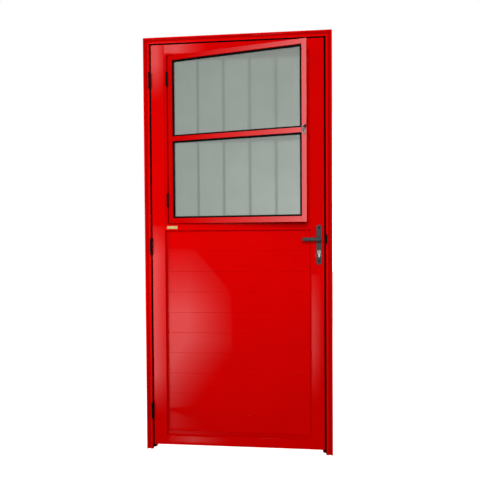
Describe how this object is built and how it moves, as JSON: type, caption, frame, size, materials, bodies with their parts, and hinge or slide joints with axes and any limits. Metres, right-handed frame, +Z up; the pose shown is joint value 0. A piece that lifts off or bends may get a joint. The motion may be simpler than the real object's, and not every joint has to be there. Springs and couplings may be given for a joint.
{
  "type": "aluminium door",
  "caption": "Painted aluminium entrance door in its frame: slatted lower half, glazed sash that opens on its own hinges above, grille behind it, lever handle and mortise lock.",
  "frame": {"origin": "foot of the frame, midway between the jambs, on the frame's front face", "axes": "+X to the right seen from the front, +Y from the front to the back, +Z up"},
  "size_m": [0.9, 0.2219, 2],
  "materials": {
    "red_paint": "gloss red powder coat on aluminium",
    "black_rubber": "matt black extruded rubber",
    "black_metal": "satin black paint",
    "handle_metal": "dark grey satin coating",
    "steel": "zinc-plated and nickel-plated steel",
    "brass": "drawn brass",
    "grille_metal": "plain grey aluminium",
    "frosted_glass": "frosted, faintly green"
  },
  "bodies": {
    "frame": {"jamb_hinge_side": "red_paint", "jamb_lock_side": "red_paint", "frame_head": "red_paint", "frame_corner_keys": "grille_metal", "frame_gasket": "black_rubber", "strike_plate": "black_metal", "frame_screws": "steel", "leaf_hinge_frame_wings": "black_metal", "leaf_hinge_pins": "black_metal"},
    "leaf": {"leaf_stile_hinge_side": "red_paint", "leaf_stile_lock_side": "red_paint", "leaf_top_rail": "red_paint", "leaf_middle_rail": "red_paint", "leaf_bottom_rail": "red_paint", "slat_01": "red_paint", "slat_02": "red_paint", "slat_03": "red_paint", "slat_04": "red_paint", "slat_05": "red_paint", "slat_06": "red_paint", "slat_07": "red_paint", "slat_08": "red_paint", "slat_09": "red_paint", "slat_10": "red_paint", "panel_beads": "red_paint", "window_frame_left": "red_paint", "window_frame_right": "red_paint", "window_frame_top": "red_paint", "window_frame_bottom": "red_paint", "grille_bars": "grille_metal", "grille_cross_bar": "grille_metal", "leaf_hinge_leaf_wings": "black_metal", "leaf_screws": "steel", "lock_case": "steel", "lock_faceplate": "steel", "cylinder_body": "steel", "outside_handle_plate": "handle_metal", "inside_handle_plate": "handle_metal", "handle_plate_screws": "black_metal", "sash_keeper": "red_paint", "sash_hinge_leaf_wings": "black_metal", "sash_hinge_pins": "black_metal"},
    "handle": {"outside_lever": "handle_metal", "inside_lever": "handle_metal", "lever_spindle": "steel", "lock_follower": "steel"},
    "latch": {"latch_bolt": "steel"},
    "bolt": {"dead_bolt": "steel"},
    "cylinder_core": {"cylinder_plugs": "brass", "cylinder_cam": "brass"},
    "sash": {"sash_stile_left": "red_paint", "sash_stile_right": "red_paint", "sash_top_rail": "red_paint", "sash_bottom_rail": "red_paint", "sash_middle_bar": "red_paint", "glass_panes": "frosted_glass", "glass_gaskets": "black_rubber", "sash_hinge_sash_wings": "black_metal", "sash_latch_base": "handle_metal"},
    "sash_latch": {"sash_latch_lever": "handle_metal"}
  },
  "joints": [
    {"name": "leaf_hinge", "type": "hinge", "parent": "frame", "child": "leaf", "pos_m": [-0.416, -0.0073, 0.994], "axis": [0, 0, -1], "range_deg": [0, 100]},
    {"name": "sash_hinge", "type": "hinge", "parent": "leaf", "child": "sash", "pos_m": [-0.333, -0.0058, 1.507], "axis": [0, 0, -1], "range_deg": [-10.2, 79.8]},
    {"name": "lever_turn", "type": "hinge", "parent": "leaf", "child": "handle", "pos_m": [0.3865, 0.01, 1.025], "axis": [0, -1, 0], "range_deg": [0, 40], "stiffness_Nm_per_rad": 1, "springref_deg": -40.11},
    {"name": "latch_slide", "type": "slide", "parent": "leaf", "child": "latch", "axis": [-1, 0, 0], "range_m": [0, 0.01405]},
    {"name": "key_turn", "type": "hinge", "parent": "leaf", "child": "cylinder_core", "pos_m": [0.3865, 0.01, 0.965], "axis": [0, 1, 0], "range_deg": [0, 360]},
    {"name": "dead_bolt_slide", "type": "slide", "parent": "leaf", "child": "bolt", "axis": [1, 0, 0], "range_m": [0, 0.02005]},
    {"name": "sash_latch_turn", "type": "hinge", "parent": "sash", "child": "sash_latch", "pos_m": [0.30762, -0.12157, 1.515], "axis": [-0.1771, -0.9842, 0], "range_deg": [-55, 35]}
  ],
  "couplings": [
    {"joint": "latch_slide", "follows": "lever_turn", "m_per_rad": 0.020053},
    {"joint": "dead_bolt_slide", "follows": "key_turn", "m_per_rad": 0.0031831}
  ]
}
